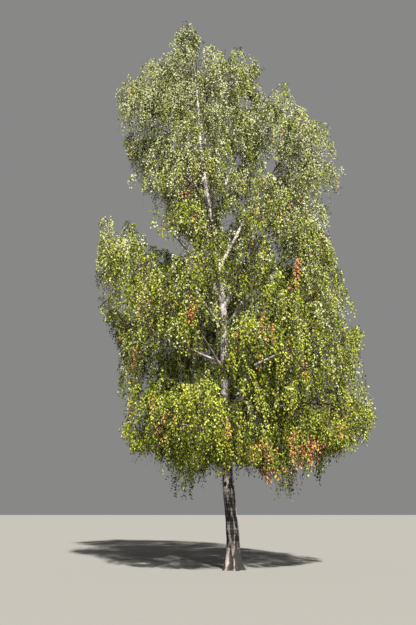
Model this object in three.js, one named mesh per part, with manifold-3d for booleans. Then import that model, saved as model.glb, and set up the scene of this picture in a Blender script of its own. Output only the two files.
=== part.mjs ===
// A silver birch, 20 m tall, in late summer leaf: one leaning trunk with a root flare, boughs that rise
// from it in tiers, and weeping masses of foliage that hang from the boughs' tips and from the leader.
// Millimetres, +Z up, origin at the centre of the flat cut under the trunk. +X is to the right and +Y
// is away from someone who faces the tree's front.
import * as THREE from "three";
import { mergeVertices } from "three/addons/utils/BufferGeometryUtils.js";
import Module from "manifold-3d";

const wasm = await Module();
wasm.setup();

// The whole tree
const TREE_HEIGHT = 20000;
const CLEARANCE = 0.3; // between a limb and what grows from it
const UP = new THREE.Vector3(0, 0, 1);

// The trunk leans to the left as it rises, with a slow sway, and ends inside the topmost mass
const TRUNK_TOP = 18500;
const TRUNK_RADIUS = 200; // above the root flare
const TRUNK_VANISHES = 19500; // where its taper would come to nothing
const TRUNK_TAPER = 0.9;
const TRUNK_LEAN = 1650;
const LEAN_POWER = 1.8;
const SWAY = 100;
const SWAY_HALF_WAVE = 5000;
const SWAY_NODE = 6000;
const SWAY_STARTS = 2000;
const FLARE = 130;
const FLARE_HEIGHT = 280;
const ROOT_LOBES = 5;
const LOBE_DEPTH = 0.2;
const LOBE_HEIGHT = 420;
const TRUNK_SIDES = 16;
const TRUNK_STEPS = 22;
const TRUNK_STEP_GROWTH = 1.7; // rings lie closer together in the root flare

// The crown's outline as seen from the front: height, furthest left and furthest right
const CROWN_OUTLINE = [
  [1900, -2000, 2300],
  [2600, -2700, 3000],
  [3100, -3200, 3500],
  [3600, -3500, 4350],
  [4400, -3750, 4650],
  [6600, -3750, 4550],
  [7200, -4250, 4450],
  [8500, -4600, 4100],
  [10300, -4650, 3500],
  [11200, -4600, 3500],
  [12300, -3500, 4150],
  [13300, -3500, 4400],
  [14600, -4050, 3900],
  [15600, -4300, 3350],
  [16500, -4250, 2700],
  [17700, -3000, 1300],
  [18300, -2350, 900],
  [18650, -2200, -500],
  [19400, -2100, -1150],
  [20100, -1850, -1400],
];
const CROWN_DEPTH = 0.98; // reach to the front and back, as a share of the mean reach to the sides

// Clear air inside that outline: ellipsoids, each with its centre at, its half sizes, and how much it rises
// for each millimetre towards the back
const CROWN_GAPS = [
  { at: [-3200, -600, 11800], half: [2000, 2800, 450], rise: 0.5 }, // over the lobe on the left
  { at: [0, 0, 2100], half: [1400, 2600, 1000], rise: 0 }, // round the lower trunk
  { at: [1350, 0, 17200], half: [300, 4500, 500], rise: 0.78 }, // a notch in the right shoulder
];

// Tiers of foliage from the lowest up. Each has masses round the trunk at one height, the first at the
// bearing turn, counted in degrees from +X towards +Y, and as far out as the share out of the crown's reach.
// A bough leaves the trunk at the angle rise and bows upwards by arch. Where rise is null the masses grow
// on the trunk itself. Leaves hang by the share hang, and point along their twigs for the rest.
const TIERS = [
  { name: "skirt", height: 4250, masses: 5, out: 0.6, turn: 188, rise: 14, arch: 0.1, hang: 0.8 },
  { name: "low", height: 6450, masses: 6, out: 0.6, turn: 170, rise: 27, arch: 0.02, hang: 0.85 },
  { name: "middle", height: 8700, masses: 6, out: 0.6, turn: 200, rise: 42, arch: 0.08, hang: 0.85 },
  { name: "high", height: 10550, masses: 5, out: 0.6, turn: 340, rise: 52, arch: 0.16, hang: 0.85 },
  { name: "shoulder", height: 13400, masses: 4, out: 0.6, turn: 5, rise: 57, arch: 0.06, hang: 0.8 },
  { name: "upper", height: 15700, masses: 2, out: 0.6, turn: 185, rise: 66, arch: 0.03, hang: 0.7 },
  { name: "crest", height: 17500, masses: 2, out: 0.45, turn: 0, rise: null, arch: 0, hang: 0.5 },
  { name: "tip", height: 19120, masses: 1, out: 0, turn: 0, rise: null, arch: 0, hang: 0.15 },
];
const TURN_JITTER = 14; // degrees
const HEIGHT_JITTER = 420;
const MASS_MARGIN = 10; // a mass keeps this far inside its own space

// Boughs
const TIP_INSIDE = 520; // from a mass's centre in towards the trunk to the bough's tip
const TIP_ABOVE = 300;
const BOUGH_TIP_RADIUS = 26;
const BOUGH_RADIUS_PER_LENGTH = 0.0125;
const BOUGH_TAPER = 1.2;
const BOUGH_TO_TRUNK = 0.62; // the most that a bough's radius may be of the trunk's
const COLLAR = 0.3; // the swelling where a bough leaves the trunk, as a share of its radius
const COLLAR_LENGTH = 0.05; // as a share of the bough's
const BOUGH_SIDES = 6;
const BOUGH_STEPS = 5;
const LIMB_GAP = 30; // foliage keeps this far from the trunk and boughs

// Foliage: a stem, twigs spread round it, and leaves as long as one hanging spray of the real tree
const STEM_RADIUS = 24;
const STEM_LENGTH = 2300;
const STEM_DROOP = 0.4;
const STEM_STARTS_BELOW = 750; // where a stem on the trunk starts, below its mass's centre
const NEAR_TRUNK = 350; // spaces meet here, so a stem may cross from one into another
const TWIGS = 4;
const TWIG_RADIUS = 21;
const TWIG_TIP_RADIUS = 15;
const TWIG_LENGTH = 1500;
const TWIG_DROOP = 0.35;
const TWIG_SPREAD = 62; // degrees from the stem
const TWIG_TURN_JITTER = 40;
const TWIG_SIDES = 3;
const SHORTER = [1, 0.75, 0.5, 0.32]; // lengths tried, as shares, until one fits its space
const LEAVES = 12; // the most on one mass
const LEAVES_AT = [0.95, 0.6, 0.3]; // along the stem and each twig
const LEAF_LENGTH = 1700;
const LEAF_WIDTH = 0.5; // as a share of its length
const LEAF_THICKNESS = 0.04;
const LEAF_WAIST = 0.4;
const LEAF_SINK = 3; // how far past a twig's axis its root lies
const LEAF_TWIST = 0.22; // how much its direction varies
const LEAF_LENGTH_JITTER = 0.12;
const LEAF_SHARES = [1, 0.78, 0.6, 0.45, 0.3]; // lengths tried, the largest over the whole mass first
const LEAF_NECK = 70; // beyond this from its root a leaf touches nothing else
const GOLDEN_ANGLE = 137.508;

const BARK = new THREE.MeshStandardMaterial({ color: 0xd9d5cb, roughness: 0.75, metalness: 0 });
const BOUGH_BARK = new THREE.MeshStandardMaterial({ color: 0xa89c8c, roughness: 0.8, metalness: 0 });
const FOLIAGE = new THREE.MeshStandardMaterial({ color: 0x8a9a4a, roughness: 0.6, metalness: 0 });

// A repeatable value from 0 to 1 for the given pair of numbers.
function chance(item, draw) {
  const wave = Math.sin(item * 127.1 + draw * 311.7) * 43758.5453;
  return wave - Math.floor(wave);
}

// The same from -1 to 1.
function jitter(item, draw) {
  return 2 * chance(item, draw) - 1;
}

function heading(degrees) {
  const angle = THREE.MathUtils.degToRad(degrees);
  return new THREE.Vector3(Math.cos(angle), Math.sin(angle), 0);
}

function trunkAxis(height) {
  const lean = -TRUNK_LEAN * (height / TREE_HEIGHT) ** LEAN_POWER;
  const sway = SWAY * Math.min(1, height / SWAY_STARTS);
  const phase = (Math.PI * (height - SWAY_NODE)) / SWAY_HALF_WAVE;
  return new THREE.Vector3(lean + sway * Math.sin(phase), sway * Math.cos(phase), height);
}

function trunkRadius(height) {
  return TRUNK_RADIUS * (1 - height / TRUNK_VANISHES) ** TRUNK_TAPER;
}

// The crown's reach from the trunk's axis at a height, towards the bearing of the flat vector toward.
function crownReach(height, toward) {
  const top = CROWN_OUTLINE.length - 1;
  if (height <= CROWN_OUTLINE[0][0] || height >= CROWN_OUTLINE[top][0]) return 0;
  const above = CROWN_OUTLINE.findIndex((row) => row[0] > height);
  const [low, lowLeft, lowRight] = CROWN_OUTLINE[above - 1];
  const [high, highLeft, highRight] = CROWN_OUTLINE[above];
  const share = (height - low) / (high - low);
  const axis = trunkAxis(height);
  const left = axis.x - THREE.MathUtils.lerp(lowLeft, highLeft, share);
  const right = THREE.MathUtils.lerp(lowRight, highRight, share) - axis.x;
  const side = toward.x > 0 ? right : left;
  const depth = (CROWN_DEPTH * (left + right)) / 2;
  return 1 / Math.hypot(toward.x / side, toward.y / depth);
}

// A closed geometry as a manifold solid.
function solidOf(geometry) {
  geometry.deleteAttribute("normal");
  geometry.deleteAttribute("uv");
  const merged = mergeVertices(geometry, 1e-3);
  const vertProperties = merged.attributes.position.array;
  const triVerts = new Uint32Array(merged.index.array);
  return new wasm.Manifold(new wasm.Mesh({ numProp: 3, vertProperties, triVerts }));
}

// What is left of a solid once loose scraps are dropped.
function mainPiece(solid) {
  const pieces = solid.decompose();
  return pieces.reduce((largest, piece) => (piece.volume() > largest.volume() ? piece : largest));
}

function geometryOf(solid) {
  const mesh = solid.getMesh();
  const geometry = new THREE.BufferGeometry();
  geometry.setAttribute("position", new THREE.BufferAttribute(mesh.vertProperties, 3));
  geometry.setIndex(new THREE.BufferAttribute(mesh.triVerts, 1));
  geometry.computeVertexNormals();
  return geometry;
}

function moveVertices(geometry, place) {
  const position = geometry.attributes.position;
  const vertex = new THREE.Vector3();
  for (let i = 0; i < position.count; i++) {
    vertex.fromBufferAttribute(position, i);
    const moved = place(vertex);
    position.setXYZ(i, moved.x, moved.y, moved.z);
  }
  return geometry;
}

// The trunk, grown by extra all round. Its rings are level, so its foot is a flat cut.
function trunkGeometry(extra) {
  const tube = new THREE.CylinderGeometry(1, 1, 1, TRUNK_SIDES, TRUNK_STEPS);
  return moveVertices(tube, (vertex) => {
    const height = TRUNK_TOP * (vertex.y + 0.5) ** TRUNK_STEP_GROWTH;
    const angle = Math.atan2(vertex.z, vertex.x);
    const flare = FLARE * Math.exp(-height / FLARE_HEIGHT);
    const lobes = 1 + LOBE_DEPTH * Math.exp(-height / LOBE_HEIGHT) * Math.cos(ROOT_LOBES * angle);
    const radius = (trunkRadius(height) + flare) * lobes + extra;
    const out = new THREE.Vector3(vertex.x, -vertex.z, 0).multiplyScalar(radius);
    return trunkAxis(height).add(out);
  });
}

// A tapering limb along a curve that lies in one upright plane.
function limbGeometry(curve, radiusAt, sides, steps) {
  const ends = curve.getPoint(1).sub(curve.getPoint(0));
  const side = new THREE.Vector3().crossVectors(ends, UP);
  if (side.lengthSq() < 1) side.set(1, 0, 0);
  side.normalize();
  const tube = new THREE.CylinderGeometry(1, 1, 1, sides, steps);
  return moveVertices(tube, (vertex) => {
    const along = vertex.y + 0.5;
    const across = new THREE.Vector3().crossVectors(side, curve.getTangent(along));
    const out = side.clone().multiplyScalar(vertex.x).addScaledVector(across, vertex.z);
    return curve.getPoint(along).addScaledVector(out, radiusAt(along));
  });
}

// A curve that sets off in one direction and sags by droop, a share of its length.
function droopingCurve(start, direction, length, droop) {
  const middle = start.clone().addScaledVector(direction, length / 2);
  const end = start.clone().addScaledVector(direction, length).addScaledVector(UP, -droop * length);
  return new THREE.QuadraticBezierCurve3(start, middle, end);
}

// A thin kite-shaped blade of eight faces. Its root lies sink behind the given point.
function leafGeometry(point, direction, facing, length, sink) {
  const side = new THREE.Vector3().crossVectors(direction, facing).normalize();
  const face = new THREE.Vector3().crossVectors(direction, side);
  return moveVertices(new THREE.OctahedronGeometry(1, 0), (vertex) => {
    const waist = LEAF_WAIST * length * (1 - Math.abs(vertex.z));
    const along = waist + length * Math.max(0, vertex.z) + sink * Math.min(0, vertex.z);
    return point
      .clone()
      .addScaledVector(direction, along)
      .addScaledVector(side, (vertex.x * LEAF_WIDTH * length) / 2)
      .addScaledVector(face, (vertex.y * LEAF_THICKNESS * length) / 2);
  });
}

// Where each mass is, in every tier.
function layOutMasses() {
  const masses = [];
  for (const tier of TIERS) {
    for (let i = 0; i < tier.masses; i++) {
      const index = masses.length;
      const spread = tier.masses > 2 ? 1 : 0;
      const bearing = tier.turn + (360 * i) / tier.masses + spread * TURN_JITTER * jitter(index, 1);
      const height = tier.height + spread * HEIGHT_JITTER * jitter(index, 2);
      const toward = heading(bearing);
      const out = tier.out * crownReach(height, toward);
      const centre = trunkAxis(height).addScaledVector(toward, out);
      masses.push({ index, tier, toward, out, centre, place: i + 1 });
    }
  }
  return masses;
}

// The line of a bough, from the trunk's axis to its tip in the mass.
function boughCurve(mass) {
  const { tier, toward, out, centre } = mass;
  const tip = centre.clone().addScaledVector(toward, -TIP_INSIDE).addScaledVector(UP, TIP_ABOVE);
  const climb = (out - TIP_INSIDE) * Math.tan(THREE.MathUtils.degToRad(tier.rise));
  const root = trunkAxis(tip.z - climb);
  const middle = root.clone().add(tip).multiplyScalar(0.5);
  middle.addScaledVector(UP, tier.arch * root.distanceTo(tip));
  return new THREE.QuadraticBezierCurve3(root, middle, tip);
}

function boughRadiusAt(curve) {
  const wanted = BOUGH_TIP_RADIUS + BOUGH_RADIUS_PER_LENGTH * curve.getLength();
  const rootRadius = Math.min(wanted, BOUGH_TO_TRUNK * trunkRadius(curve.getPoint(0).z));
  return (along) => {
    const collar = COLLAR * rootRadius * Math.exp(-along / COLLAR_LENGTH);
    return THREE.MathUtils.lerp(BOUGH_TIP_RADIUS, rootRadius, (1 - along) ** BOUGH_TAPER) + collar;
  };
}

function inCrownGap(point) {
  return CROWN_GAPS.some(({ at, half, rise }) => {
    const offset = point.clone().sub(new THREE.Vector3(...at));
    offset.z -= rise * offset.y;
    return offset.divide(new THREE.Vector3(...half)).length() < 1;
  });
}

// Whether a point is inside the crown's outline, clear of its gaps, and nearer to its own mass's centre than
// to any other. Within nearTrunk of the trunk's axis, where many spaces meet, the other masses don't count.
function inOwnSpace(point, mass, masses, nearTrunk) {
  const out = point.clone().sub(trunkAxis(point.z));
  const distance = out.length();
  if (distance > crownReach(point.z, out.divideScalar(Math.max(distance, 1)))) return false;
  if (inCrownGap(point)) return false;
  if (distance < nearTrunk) return true;
  return masses.every((other) => {
    if (other === mass) return true;
    const between = other.centre.clone().sub(mass.centre);
    const middle = mass.centre.clone().addScaledVector(between, 0.5);
    return point.clone().sub(middle).dot(between.normalize()) < -MASS_MARGIN;
  });
}

// One mass: the stem, then twigs in a spiral round it, then leaves on both. What fits its space is kept.
function growMass(mass, masses, limbs, trunk) {
  const { index, tier, centre } = mass;
  let draws = 10;
  const draw = () => jitter(index, draws++);

  const fits = (geometry, nearTrunk) => {
    const position = geometry.attributes.position;
    const vertex = new THREE.Vector3();
    for (let i = 0; i < position.count; i++) {
      if (!inOwnSpace(vertex.fromBufferAttribute(position, i), mass, masses, nearTrunk)) return false;
    }
    return true;
  };

  // The stem goes on from the bough's tip, or starts on the trunk.
  const start = mass.root ?? trunkAxis(centre.z - STEM_STARTS_BELOW);
  const onward = mass.heading ?? centre.clone().sub(start).normalize();
  const stemRadius = (along) => THREE.MathUtils.lerp(STEM_RADIUS, TWIG_TIP_RADIUS, along);
  let stem;
  let stemGeometry;
  for (const share of SHORTER) {
    stem = droopingCurve(start, onward, share * STEM_LENGTH, STEM_DROOP * tier.hang);
    stemGeometry = limbGeometry(stem, stemRadius, TWIG_SIDES, TWIGS + 1);
    if (fits(stemGeometry, NEAR_TRUNK)) break;
  }
  let foliage = solidOf(stemGeometry);
  if (!mass.root) foliage = foliage.subtract(trunk);

  const curves = [stem];
  const twigRadius = (along) => THREE.MathUtils.lerp(TWIG_RADIUS, TWIG_TIP_RADIUS, along);
  const spread = THREE.MathUtils.degToRad(TWIG_SPREAD);
  const sag = TWIG_DROOP * tier.hang;
  for (let i = 0; i < TWIGS; i++) {
    const along = (i + 1) / (TWIGS + 1);
    const turn = THREE.MathUtils.degToRad(i * GOLDEN_ANGLE + TWIG_TURN_JITTER * draw());
    const ahead = stem.getTangent(along);
    const aside = new THREE.Vector3().crossVectors(ahead, UP).normalize();
    if (aside.lengthSq() === 0) aside.set(0, 1, 0);
    const direction = aside.applyAxisAngle(ahead, turn).multiplyScalar(Math.sin(spread));
    direction.addScaledVector(ahead, Math.cos(spread));
    for (const share of SHORTER) {
      const length = share * TWIG_LENGTH;
      const root = stem.getPoint(along);
      const tip = root.clone().addScaledVector(direction, length).addScaledVector(UP, -sag * length);
      const curve = new THREE.LineCurve3(root, tip);
      const geometry = limbGeometry(curve, twigRadius, TWIG_SIDES, 1);
      if (!fits(geometry, 0)) continue;
      const twig = solidOf(geometry);
      if (!twig.intersect(limbs).isEmpty()) continue;
      foliage = foliage.add(twig);
      curves.push(curve);
      break;
    }
  }

  const places = LEAVES_AT.flatMap((along) => curves.map((curve) => ({ along, curve, bare: true })));
  let leaves = 0;
  for (const share of LEAF_SHARES) {
    for (const place of places.filter((each) => each.bare)) {
      const point = place.curve.getPoint(place.along);
      const direction = place.curve.getTangent(place.along).multiplyScalar(1 - tier.hang);
      direction.addScaledVector(UP, -tier.hang);
      direction.add(new THREE.Vector3(draw(), draw(), draw()).multiplyScalar(LEAF_TWIST)).normalize();
      const facing = heading(180 * draw());
      const length = share * LEAF_LENGTH * (1 + LEAF_LENGTH_JITTER * draw());
      const geometry = leafGeometry(point, direction, facing, length, LEAF_SINK);
      if (leaves === LEAVES || !fits(geometry, 0)) continue;
      const neck = point.clone().addScaledVector(direction, LEAF_NECK);
      const blade = solidOf(leafGeometry(neck, direction, facing, length - LEAF_NECK, 0));
      if (!blade.intersect(foliage).isEmpty() || !blade.intersect(limbs).isEmpty()) continue;
      foliage = foliage.add(solidOf(geometry));
      place.bare = false;
      leaves++;
    }
  }
  return mainPiece(foliage);
}

const birch = new THREE.Group();

function addNode(name, solid, material) {
  const mesh = new THREE.Mesh(geometryOf(solid), material);
  mesh.name = name;
  birch.add(mesh);
}

function buildBirch() {
  const trunk = solidOf(trunkGeometry(0));
  const trunkWithClearance = solidOf(trunkGeometry(CLEARANCE));
  addNode("trunk", trunk, BARK);

  const masses = layOutMasses();
  let limbs = solidOf(trunkGeometry(LIMB_GAP));
  for (const mass of masses.filter((each) => each.tier.rise)) {
    const curve = boughCurve(mass);
    const radiusAt = boughRadiusAt(curve);
    const bough = solidOf(limbGeometry(curve, radiusAt, BOUGH_SIDES, BOUGH_STEPS));
    const wide = limbGeometry(curve, (along) => radiusAt(along) + LIMB_GAP, BOUGH_SIDES, BOUGH_STEPS);
    limbs = limbs.add(solidOf(wide));
    mass.heading = curve.getTangent(1);
    mass.root = curve.getPoint(1).addScaledVector(mass.heading, CLEARANCE);
    const cut = mainPiece(bough.subtract(trunkWithClearance));
    addNode(`bough_${mass.tier.name}_${mass.place}`, cut, BOUGH_BARK);
  }
  for (const mass of masses) {
    const foliage = growMass(mass, masses, limbs, trunkWithClearance);
    addNode(`foliage_${mass.tier.name}_${mass.place}`, foliage, FOLIAGE);
  }
}

buildBirch();

export default birch;
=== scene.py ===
"""A silver birch, 20 m tall, in late summer leaf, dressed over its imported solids.

The trunk and boughs get bark with real relief. Each foliage mass gets the same stem as its solid,
and then twigs, branchlets, hanging shoots and small leaves, by the same rule carried further.
Metres, +Z up, +X to the right and +Y away from someone who faces the tree's front.
"""

import math

import bpy
import numpy as np
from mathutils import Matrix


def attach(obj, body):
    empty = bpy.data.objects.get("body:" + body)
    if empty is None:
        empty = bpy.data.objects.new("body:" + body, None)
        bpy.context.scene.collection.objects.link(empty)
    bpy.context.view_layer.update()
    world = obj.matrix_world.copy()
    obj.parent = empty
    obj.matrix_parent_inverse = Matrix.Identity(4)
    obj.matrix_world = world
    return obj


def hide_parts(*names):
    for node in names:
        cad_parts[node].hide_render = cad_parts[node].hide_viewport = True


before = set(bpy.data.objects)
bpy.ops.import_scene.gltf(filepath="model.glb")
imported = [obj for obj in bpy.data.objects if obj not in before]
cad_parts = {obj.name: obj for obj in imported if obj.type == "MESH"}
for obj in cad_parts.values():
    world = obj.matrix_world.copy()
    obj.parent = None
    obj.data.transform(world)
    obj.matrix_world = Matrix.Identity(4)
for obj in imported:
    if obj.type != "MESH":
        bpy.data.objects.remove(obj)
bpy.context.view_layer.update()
rng = np.random.default_rng(20)

# The trunk, crown and masses, as in the part's source but in metres
TREE_HEIGHT = 20.0
TRUNK_TOP = 18.5
TRUNK_RADIUS = 0.2
TRUNK_VANISHES = 19.5
TRUNK_TAPER = 0.9
TRUNK_LEAN = 1.65
LEAN_POWER = 1.8
SWAY = 0.1
SWAY_HALF_WAVE = 5.0
SWAY_NODE = 6.0
SWAY_STARTS = 2.0
FLARE = 0.13
FLARE_HEIGHT = 0.28
ROOT_LOBES = 5
LOBE_DEPTH = 0.2
LOBE_HEIGHT = 0.42
CROWN_OUTLINE = np.array([
    [1.9, -2.0, 2.3],
    [2.6, -2.7, 3.0],
    [3.1, -3.2, 3.5],
    [3.6, -3.5, 4.35],
    [4.4, -3.75, 4.65],
    [6.6, -3.75, 4.55],
    [7.2, -4.25, 4.45],
    [8.5, -4.6, 4.1],
    [10.3, -4.65, 3.5],
    [11.2, -4.6, 3.5],
    [12.3, -3.5, 4.15],
    [13.3, -3.5, 4.4],
    [14.6, -4.05, 3.9],
    [15.6, -4.3, 3.35],
    [16.5, -4.25, 2.7],
    [17.7, -3.0, 1.3],
    [18.3, -2.35, 0.9],
    [18.65, -2.2, -0.5],
    [19.4, -2.1, -1.15],
    [20.1, -1.85, -1.4],
])
CROWN_DEPTH = 0.98
# Clear air in the crown: an ellipsoid's centre and half sizes, and how much it rises for each metre
# back and for each metre to the right
CROWN_GAPS = [
    ((-3.2, -0.6, 11.8), (2.0, 2.8, 0.45), 0.5, 0.0),
    ((0.0, 0.0, 2.1), (1.4, 2.6, 1.0), 0.0, 0.0),
    ((1.35, 0.0, 17.2), (0.3, 4.5, 0.5), 0.78, 0.0),
    ((-2.1, -0.3, 10.6), (1.25, 3.4, 0.42), 0.5, -0.6),
    ((1.5, 0.0, 13.4), (0.38, 4.5, 0.36), 0.6, 0.0),
    ((0.3, 0.0, 13.9), (0.28, 4.5, 0.3), 0.62, 0.0),
    ((0.72, 0.0, 16.4), (0.2, 4.5, 0.3), 0.75, 0.0),
    ((0.0, 0.0, 11.3), (0.3, 4.5, 0.3), 0.5, 0.0),
    ((1.1, 0.0, 10.9), (0.25, 4.5, 0.25), 0.48, 0.0),
    ((-0.8, -2.1, 6.6), (0.3, 2.3, 0.8), 0.3, 0.0),
    ((-2.5, -1.0, 3.0), (0.8, 3.0, 0.25), 0.1, -0.2),
    ((-2.15, -2.4, 5.95), (0.75, 1.3, 0.5), 0.3, 0.0),
    ((-1.2, -2.3, 5.6), (0.5, 1.2, 0.4), 0.3, 0.0),
    ((-0.74, 0.0, 18.95), (0.36, 0.45, 0.4), 0.0, 0.0),
]
# Where a limb shows between the leaves: the limb, from and to (heights on the trunk, else shares of
# the bough), and half the width of the clear slots that run from there to the viewer and to the sun
SLOTS = [
    ("trunk", 7.95, 8.5, 0.08, 0.06),
    ("trunk", 6.7, 7.2, 0.08, 0.07),
    ("trunk", 5.3, 5.6, 0.1, 0.08),
    ("trunk", 11.3, 13.2, 0.08, 0.09),
    ("trunk", 14.6, 15.0, 0.06, 0.1),
    ("trunk", 16.3, 17.1, 0.07, 0.1),
    ("skirt_1", 0.5, 0.95, 0.07, 0.07),
    ("low_1", 0.3, 0.8, 0.08, 0.08),
    ("low_2", 0.3, 0.9, 0.08, 0.08),
    ("low_4", 0.45, 0.9, 0.09, 0.12),
    ("middle_3", 0.3, 0.9, 0.09, 0.0),
    ("shoulder_1", 0.1, 0.42, 0.08, 0.08),
    ("shoulder_3", 0.2, 0.7, 0.05, 0.08),
    ("upper_2", 0.3, 0.45, 0.05, 0.08),
]
GAP_LUMP = 0.5  # the size of the lumps that narrow and widen a gap
GAP_WOBBLE = 0.06
SLOT_LUMP = 0.2  # the size of the lumps that close a slot here and there
SLOT_WOBBLE = 2
VIEWER = (-0.735, -19.323, 1.6)
CAMERA_PITCH = 18.254  # degrees above the horizon
CAMERA_LENS = 34.96  # millimetres
CAMERA_SENSOR = 36  # millimetres along the picture's long side
CAMERA_SEES_TO = 1000
SUN_TILT = 48  # degrees from straight overhead
SUN_TURN = 13  # degrees to the right of straight in front
# Soft random lumps: notches between the tufts on the outline, and hollows between the sprays
LUMP_WAVES = 14
LUMP_SCATTER = (0.75, 1.3)
NOTCH_SIZE = 1.5
NOTCH_DEPTH = 0.13
THIN_SHARE = 0.1  # the most that a notch, or the edge, takes of the crown's reach
HOLLOW_SIZE = 1.7
HOLLOW_HEIGHTS = (4.0, 14.0, 17.5, 18.3)
HOLLOW_BELOW = (-1.15, -0.6, -0.6, -3.0)  # at those heights; the lower, the fewer hollows
# Each tier's name, height, number of masses, how far out they are as a share of the crown's reach,
# the first one's bearing in degrees, how steeply its boughs rise, how far those arch, and how far its
# twigs hang
TIERS = [
    ("skirt", 4.25, 5, 0.6, 188, 14, 0.1, 0.8),
    ("low", 6.45, 6, 0.6, 170, 27, 0.02, 0.85),
    ("middle", 8.7, 6, 0.6, 200, 42, 0.08, 0.85),
    ("high", 10.55, 5, 0.6, 340, 52, 0.16, 0.85),
    ("shoulder", 13.4, 4, 0.6, 5, 57, 0.06, 0.8),
    ("upper", 15.7, 2, 0.6, 185, 66, 0.03, 0.7),
    ("crest", 17.5, 2, 0.45, 0, None, 0, 0.5),
    ("tip", 19.12, 1, 0, 0, None, 0, 0.15),
]
TURN_JITTER = 14
HEIGHT_JITTER = 0.42
TIP_INSIDE = 0.52  # where a bough's tip is, from the centre of its mass
TIP_ABOVE = 0.3
BOUGH_TIP_RADIUS = 0.026
BOUGH_RADIUS_PER_LENGTH = 0.0125
BOUGH_TAPER = 1.2
BOUGH_TO_TRUNK = 0.62  # the most that a bough's radius is of the trunk's
COLLAR = 0.3
COLLAR_LENGTH = 0.05
STEM_LENGTH = 2.3
STEM_DROOP = 0.4
STEM_STARTS_BELOW = 0.75
NEAR_TRUNK = 0.35
UP = np.array([0.0, 0.0, 1.0])

# What grows on the limbs: how many on each parent, from and to where along it, their spread in degrees,
# their length, and the shares of that length by which they reach outward and fall
TWIGS = (14, 0.1, 0.97, 58, 1.75, 1, 0.35)
BOUGH_TWIGS = (7, 0.4, 0.97, 56, 1.7, 1, 0.35)
LEADER_TWIGS = (16, 0.1, 1.0, 50, 1.2, 1, 0.35)
BRANCHLETS = (7, 0.3, 1.0, 60, 0.6, 0.9, 0.4)
TWIG_SHOOTS = (3, 0.3, 1.0, 45, 1.0, 0.25, 0.95)
SHOOTS = (3, 0.25, 1.0, 45, 1.0, 0.25, 0.95)
DRY_SHOOTS = (5, 0.25, 1.0, 50, 0.8, 0.3, 0.9)
GOLDEN_ANGLE = 137.508
TURN_SCATTER = 40  # degrees either way
TURN_PER_PARENT = 97  # degrees
LENGTH_JITTER = 0.35
SHORTER_OUTWARD = 0.35  # how much shorter what grows at a parent's tip is
SCATTER = (0.8, 1.2)  # what a spread or a fall is multiplied by
SHORTER = (1, 0.75, 0.5, 0.32)  # the shares of its length that are tried until a strand fits
PASSES_THROUGH = (0.3, 0.6)  # where along it a strand must be in its own space, besides its end
MINGLE = 0.9  # how far twigs of neighbouring masses mingle
LEAST_SHOOTS = 3  # a twig that carries fewer is left out
# How far inside the crown's outline the stems, the twigs to empty places and all other strands end
STEM_EDGE = 0.3
FILL_EDGE = 0.2
EDGE = 0.10
# Twigs that reach for empty places: how far apart those are, how many are tried, and the longest
# such twig
FILL_SPACING = 0.6
FILL_TRIES = 16000
FILL_LONGEST = 2.9
FILL_ARCH = 0.12
FILL_DOWNWARD = 0.6  # how much worse a foot is for each metre that it is above the place
FEET_ALONG = np.linspace(0, 1, 12)  # where on a limb such a twig may start
FEET_UP_TRUNK = np.arange(3.6, TRUNK_TOP, 0.3)
TAKEN_ALONG = (0.35, 0.7, 1)  # where along it a twig fills its surroundings
CROSSED_ALONG = np.array([0.3, 0.5, 0.7, 0.85])  # where along it such a twig must be out of the gaps
# Each kind of strand: its radius at the root and at the tip, the sides of its tube and the steps
# along it
STEM_TUBE = (0.024, 0.012, 5, 8)
TWIG_TUBE = (0.012, 0.006, 4, 4)
BRANCHLET_TUBE = (0.006, 0.0035, 3, 3)
SHOOT_TUBE = (0.0032, 0.0015, 3, 2)
MOST_TRIANGLES_A_PIECE = 190000
ASIDE = (0.31, 0.52, 0.8)  # a direction that no strand is likely to run in
TWIG_COLOUR = (0.050, 0.032, 0.022)
TWIG_ROUGHNESS = 0.6
TWIG_SHINE = 0.2

# Bark
TRUNK_SIDES = 72
FINE_UP_TO = 4  # the height up to which the trunk's rings are close
FINE_RING = 0.03
RINGS_ABOVE = 190
BOUGH_SIDES = 14
BOUGH_RING = 0.06
WANDER_WAVES = (0.6, 2.2)
WANDER_PER_ROUND = 2  # waves for each number of times that they go round the limb
WANDER_TALLEST = 3
FURROWS = 105  # tall, narrow and dark, round the foot of the trunk
FURROWS_UP_TO = 4.2
FURROWS_CROWD = 1.3
FURROW_HALF_HEIGHT = (0.2, 0.7)
FURROW_HALF_WIDTH = (0.1, 0.28)
FURROW_ROUGH = 0.5  # how ragged its edge is
FISSURES = 220  # dark lozenges on the trunk, which crowd and grow towards its foot
FISSURES_UP_TO = 16
FISSURES_CROWD = 2.2
FISSURES_SHORTEN = 0.75  # how much shorter the highest ones are
FISSURE_HALF_HEIGHT = (0.06, 0.34)
FISSURE_HALF_WIDTH = (0.12, 0.5)
FISSURE_ROUGH = 0.45
MARKS_NARROW = 0.4  # how much narrower the highest furrows and fissures are
MARK_EDGE = 14  # how sharp their edges are
BANDS = 170  # level and dark, across the paper bark between the fissures
BANDS_BETWEEN = (3.0, 14.0)
BAND_HALF_HEIGHT = (0.02, 0.1)
BAND_HALF_WIDTH = (0.5, 1.5)
BAND_ROUGH = 0.6
BAND_EDGE = 10
BAND_DARK = (0.6, 1.0)
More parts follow.
